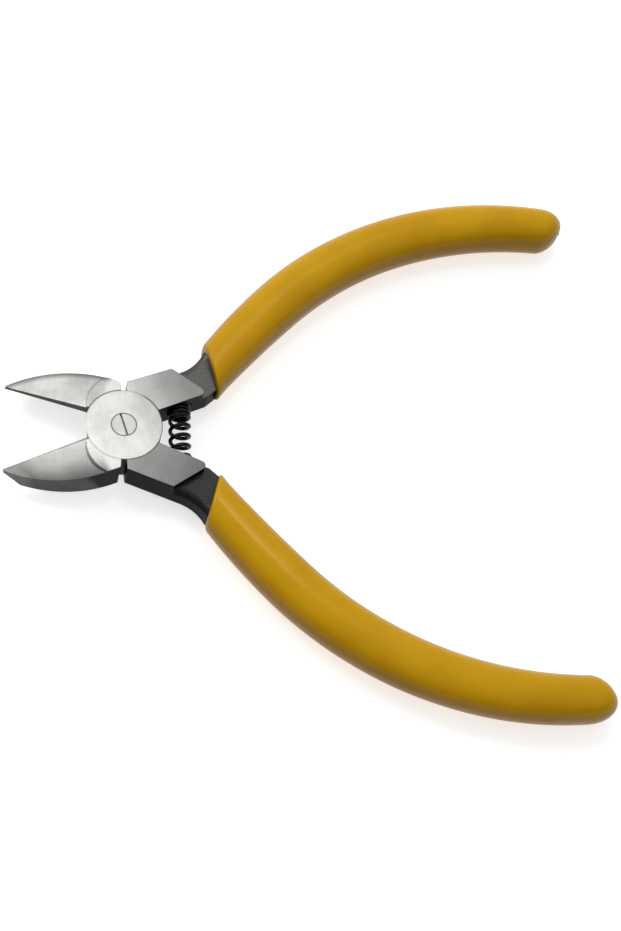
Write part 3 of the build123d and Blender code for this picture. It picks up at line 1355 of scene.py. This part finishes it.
@dataclass
class DippedGrip:
    """Vinyl sleeve dipped over the tang: a slanted mouth with a soft lip, and a round end.

    Args:
        node: the solid that it stands for.
        side: the half that it sits on.
        opening: how far the halves are open.
        body_name: the body that it rides on.
        line: middle line of the sleeve.
        length: length along the line from the mouth.
        half_width: half of the width in the plane of the handles.
        half_height: half of the height.
        mouth_inset: how much narrower each side is at the mouth, and half as much lower.
        mouth_taper: share of the length over which it widens from the mouth.
        end_inset: how much narrower each side is at the closed end.
        end_taper: share of the length over which it narrows to the end.
        section_power: power of the rounded section, 2 for an ellipse.
        lip_round: radius of the lip.
        lip_dish: how far the mouth's face is dished inwards.
        core: inset of the mouth's innermost ring, which lies inside the tang.
        end_round: radius of the closed end's round.
        end_pull: how much longer the round is on the outer side.
        end_crown: how far the end's middle stands out.
        end_slant: slope of the closed end, which is longer on the outer side.
        slant_middle: place the slope turns about, as a share of the half width.
        ripple: height of the slow ripple.
        ripple_lengths: length over which each of its two waves turns by a radian.
        ripple_shift: shift of the second wave, in radians.
        around: points round the section.
        along: rings between the lip and the end's round.
        face_rows: rings of the mouth's face.
        lip_rows: rings of the lip.
        end_rows: rings of the end's round.
        cap_rows: rings between that round and the end's middle.
    """

    node: str
    side: Side
    opening: Opening
    body_name: str
    line: HandleLine = field(default_factory=HandleLine)
    length: float = 86.05
    half_width: float = 4.98
    half_height: float = 4.64
    mouth_inset: float = 0.75
    mouth_taper: float = 0.3
    end_inset: float = 0.85
    end_taper: float = 0.5
    section_power: float = 2.22
    lip_round: float = 0.62
    lip_dish: float = 0.22
    core: float = 2.9
    end_round: float = 3.9
    end_pull: float = 2.2
    end_crown: float = 0.22
    end_slant: float = 0.24
    slant_middle: float = 0.55
    ripple: float = 0.016
    ripple_lengths: Pair = (4.7, 7.9)
    ripple_shift: float = 1.3
    around: int = 112
    along: int = 240
    face_rows: int = 11
    lip_rows: int = 8
    end_rows: int = 16
    cap_rows: int = 3

    def sizes_at(self, s: np.ndarray) -> tuple[np.ndarray, np.ndarray]:
        """Half width and half height of the sleeve.

        Formula: each taper is its inset times the square of the share of the taper that is
        left; the height takes half of the mouth's.

        Args:
            s: distance from the mouth along the line.

        Returns:
            The half widths and the half heights.
        """
        share = np.clip(s, 0, None) / self.length
        slim = self.mouth_inset * np.clip(1 - share / self.mouth_taper, 0, None) ** 2
        narrow = self.end_inset * np.clip(1 - (1 - share) / self.end_taper, 0, None) ** 2
        return self.half_width - slim - narrow, self.half_height - slim / 2

    def section(self, s: np.ndarray, inset: np.ndarray,
                turn: np.ndarray) -> tuple[np.ndarray, np.ndarray]:
        """Point of the sleeve's rounded section.

        Formula: a superellipse; each coordinate is the half size, less the inset, times the
        cosine or sine raised to two over the power, with its sign. A slow ripple of a few
        hundredths follows the length and the turn.

        Args:
            s: distance from the mouth along the line.
            inset: distance inside the skin.
            turn: angle round the section.

        Returns:
            The distances to the left and upwards.
        """
        width, height = self.sizes_at(s)
        first, second = self.ripple_lengths
        waves = np.sin(s / first + 2 * turn) + np.sin(s / second - turn + self.ripple_shift)
        wave = self.ripple * waves / 2
        power = 2 / self.section_power
        cos, sin = np.cos(turn), np.sin(turn)
        left = (width - inset + wave) * np.sign(cos) * np.abs(cos) ** power
        up = (height - inset + wave) * np.sign(sin) * np.abs(sin) ** power
        return left, up

    def profile(self) -> tuple[np.ndarray, np.ndarray, np.ndarray, np.ndarray, np.ndarray]:
        """The sleeve's profile from the tang to the closed end's middle.

        Formula: on the mouth the inset falls from the core to the lip's round while the
        depth follows a shallow dish; the lip is a quarter circle; the skin runs evenly to the
        end's round, which is a quarter circle; from there the section is pulled in evenly to
        the end's middle.

        Returns:
            For each row: the inset; the pull, which is the share of the way from the end's
            round to its middle; the depth behind the mouth's plane; the share of the way
            from the lip to the end's round; and the share of that round's reach beyond it.
        """
        face = np.linspace(0, 1, self.face_rows, endpoint=False)
        lip = np.linspace(0, np.pi / 2, self.lip_rows, endpoint=False)
        skin = np.linspace(0, 1, self.along)
        end = np.linspace(0, np.pi / 2, self.end_rows + 1)[1:]
        cap = np.linspace(0, 1, self.cap_rows + 2)[1:-1]
        mouth_rows, cover_rows = len(face) + len(lip), len(end) + len(cap)
        inset = np.concatenate([
            self.core + (self.lip_round - self.core) * face,
            self.lip_round * (1 - np.sin(lip)),
            np.zeros(len(skin)),
            self.end_round * (1 - np.cos(end)),
            np.full(len(cap), self.end_round),
        ])
        pull = np.concatenate([np.zeros(len(inset) - len(cap)), cap])
        depth = np.concatenate([
            self.lip_dish * np.sin(np.pi / 2 * (1 - face)),
            self.lip_round * (1 - np.cos(lip)),
            np.full(len(skin), self.lip_round),
            np.zeros(cover_rows),
        ])
        share = np.concatenate([np.zeros(mouth_rows), skin, np.ones(cover_rows)])
        beyond = np.concatenate([
            np.zeros(mouth_rows + len(skin)),
            np.sin(end),
            np.ones(len(cap)),
        ])
        return inset, pull, depth, share, beyond

    def rings(self) -> np.ndarray:
        """Rings of points along the sleeve, as the upper half lies when closed.

        Formula: each row of the profile is taken round the section. Each point's distance
        along the line goes from its own place behind the slanted mouth, by the row's share,
        to the end's round, and on by the round's reach, which is longer on the outer side,
        and by the crown, which grows with the square of the pull. As the section's size
        follows the distance, both are worked out together in a few rounds.

        Returns:
            Array of rings by points by 3.
        """
        inset, pull, depth, share, beyond = (row[:, None] for row in self.profile())
        turn = np.linspace(0, 2 * np.pi, self.around, endpoint=False)[None, :]
        s = np.zeros((len(inset), self.around))
        for _ in range(REFINEMENTS):
            left, up = (size * (1 - pull) for size in self.section(s, inset, turn))
            start = self.line.behind_mouth(left, depth + 0 * left)
            reach = self.end_round + self.end_pull * np.clip(left / self.half_width, 0, 1)
            slant = self.end_slant * (left - self.half_width * self.slant_middle)
            crown = self.end_crown * (1 - (1 - pull) ** 2)
            full = self.length - reach + slant
            s = start + (full - start) * share + reach * beyond + crown
        point, heading = self.line.at(s)
        x = point[..., 0] - np.sin(heading) * left
        y = point[..., 1] + np.cos(heading) * left
        return np.stack([x, y, up], axis=-1)

    def build(self) -> bpy.types.Object:
        """Builds the sleeve in its solid's place.

        Returns:
            The sleeve, riding with its half.
        """
        rings = self.opening.opened(self.rings(), self.side)
        grip = add_mesh(f"{self.side.name.lower()}_sleeve", *closed_skin(rings))
        grip.data.materials.append(DippedVinyl(self.side).material())
        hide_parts(self.node)
        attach(grip, self.body_name)
        return grip


# ------------------------------------------------------------------ studio


@dataclass(frozen=True)
class Lamp:
    """A soft square lamp.

    Args:
        name: name of the lamp.
        place: its place, in millimetres.
        size: its side, in millimetres.
        power: in watts.
    """

    name: str
    place: Triple
    size: float
    power: float

    def build(self, target: Triple) -> bpy.types.Object:
        """Adds the lamp.

        Args:
            target: the place that it shines at, in millimetres.

        Returns:
            The lamp.
        """
        light = bpy.data.lights.new(self.name, "AREA")
        light.size = self.size * MM
        light.energy = self.power
        lamp = bpy.data.objects.new(self.name, light)
        place = Vector(self.place)
        aim = (Vector(target) - place).to_track_quat("-Z", "Y")
        lamp.matrix_world = Matrix.Translation(place * MM) @ aim.to_matrix().to_4x4()
        bpy.context.scene.collection.objects.link(lamp)
        return lamp


@dataclass
class Studio:
    """A white paper floor, soft lamps and the camera.

    Args:
        target: the point that the camera and the lamps look at.
        distance: distance of the camera from it.
        azimuth: direction of the camera round the target, in degrees from -Y.
        elevation: its height angle, in degrees.
        roll: its turn about its own axis, in degrees.
        lens: focal length.
        sensor: width of the sensor.
        clip_start: nearest distance that is seen, in metres.
        floor_size: side of the floor.
        world: strength of the room's light.
        dim: share of it from the dim side.
        bright_side: direction of the bright side.
        bright_from: cosine to the bright side at which the light starts to grow.
        lamps: the soft lamps.
    """

    target: Triple = (34.94, -5.19, 3.2)
    distance: float = 369.75
    azimuth: float = -21.796
    elevation: float = 61.103
    roll: float = 21.667
    lens: float = 76.99
    sensor: float = 36.0
    clip_start: float = 0.01
    floor_size: float = 4000.0
    world: float = 0.84
    dim: float = 0.18
    bright_side: Triple = (0.0, 0.6, 0.8)
    bright_from: float = -0.35
    lamps: tuple[Lamp, ...] = (
        Lamp("window", (120, 440, 780), 240, 0.42),
        Lamp("side", (-520, 420, 560), 300, 2.2),
        Lamp("near", (40, 125, 380), 50, 0.13),
    )

    def camera(self) -> bpy.types.Object:
        """Builds the camera.

        Formula: it looks from the given azimuth and elevation at the target, rolled about
        its own axis.

        Returns:
            The camera, set as the scene's.
        """
        az, el, roll = (math.radians(a) for a in (self.azimuth, self.elevation, self.roll))
        back = Vector((math.sin(az) * math.cos(el), -math.cos(az) * math.cos(el), math.sin(el)))
        level = Vector((math.cos(az), math.sin(az), 0))
        over = back.cross(level)
        right = math.cos(roll) * level + math.sin(roll) * over
        up = math.cos(roll) * over - math.sin(roll) * level
        lens = bpy.data.cameras.new("camera")
        lens.lens = self.lens
        lens.sensor_width = self.sensor
        lens.clip_start = self.clip_start
        camera = bpy.data.objects.new("camera", lens)
        turned = Matrix((right, up, back)).transposed().to_4x4()
        place = Vector(self.target) + back * self.distance
        camera.matrix_world = Matrix.Translation(place * MM) @ turned
        bpy.context.scene.collection.objects.link(camera)
        bpy.context.scene.camera = camera
        return camera

    def floor(self, height: float) -> bpy.types.Object:
        """Builds the floor.

        Args:
            height: height of the floor, in metres.

        Returns:
            The floor, marked as stage.
        """
        half = self.floor_size / 2 * MM
        corners = [(-half, -half, height), (half, -half, height),
                   (half, half, height), (-half, half, height)]
        mesh = bpy.data.meshes.new("floor")
        mesh.from_pydata(corners, [], [(0, 1, 2, 3)])
        floor = bpy.data.objects.new("floor", mesh)
        floor.data.materials.append(PaperFloor().material())
        bpy.context.scene.collection.objects.link(floor)
        floor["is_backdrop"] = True
        return floor

    def room(self) -> bpy.types.World:
        """Sets the soft light of the room.

        Formula: its grey rises smoothly with the cosine to the bright side.

        Returns:
            The world, set as the scene's.
        """
        world = bpy.data.worlds.new("studio")
        world.use_nodes = True
        tree = world.node_tree
        sky = tree.nodes["Background"]
        sky.inputs["Strength"].default_value = self.world
        direction = tree.nodes.new("ShaderNodeTexCoord")
        towards = tree.nodes.new("ShaderNodeVectorMath")
        towards.operation = "DOT_PRODUCT"
        towards.inputs[1].default_value = self.bright_side
        tree.links.new(direction.outputs["Generated"], towards.inputs[0])
        grey = tree.nodes.new("ShaderNodeMapRange")
        grey.interpolation_type = "SMOOTHSTEP"
        grey.inputs["From Min"].default_value = self.bright_from
        grey.inputs["From Max"].default_value = 1.0
        grey.inputs["To Min"].default_value = self.dim
        grey.inputs["To Max"].default_value = 1.0
        tree.links.new(towards.outputs["Value"], grey.inputs["Value"])
        tree.links.new(grey.outputs["Result"], sky.inputs["Color"])
        bpy.context.scene.world = world
        return world

    def lights(self) -> list[bpy.types.Object]:
        """Adds the lamps, aimed at the pliers."""
        return [lamp.build(self.target) for lamp in self.lamps]


def main() -> None:
    """Builds the pliers' pieces in order, and the studio round them."""
    logging.basicConfig(level=logging.INFO, format="%(message)s")
    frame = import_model()
    nodes = frame["nodes"]
    opening = Opening.from_record(frame["record"])
    bpy.context.scene.view_settings.view_transform = "Standard"
    studio = Studio()
    studio.camera()
    log.info("camera set")
    for name, side in (("bottom_half", Side.LOWER), ("top_half", Side.UPPER)):
        ForgedHalf(name, side, opening).dress(nodes)
        log.info("%s dressed", name)
    PivotScrew().dress(nodes)
    log.info("pivot screw dressed")
    spring = ReturnSpring().build()
    log.info("%s built, %d faces", spring.name, len(spring.data.polygons))
    for name, side, body in (("lower_grip", Side.LOWER, "lower"),
                             ("upper_grip", Side.UPPER, "upper")):
        grip = DippedGrip(name, side, opening, body).build()
        log.info("%s built, %d faces", grip.name, len(grip.data.polygons))
    studio.floor(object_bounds()[0][2])
    studio.room()
    studio.lights()
    log.info("studio set")


if __name__ == "__main__":
    main()
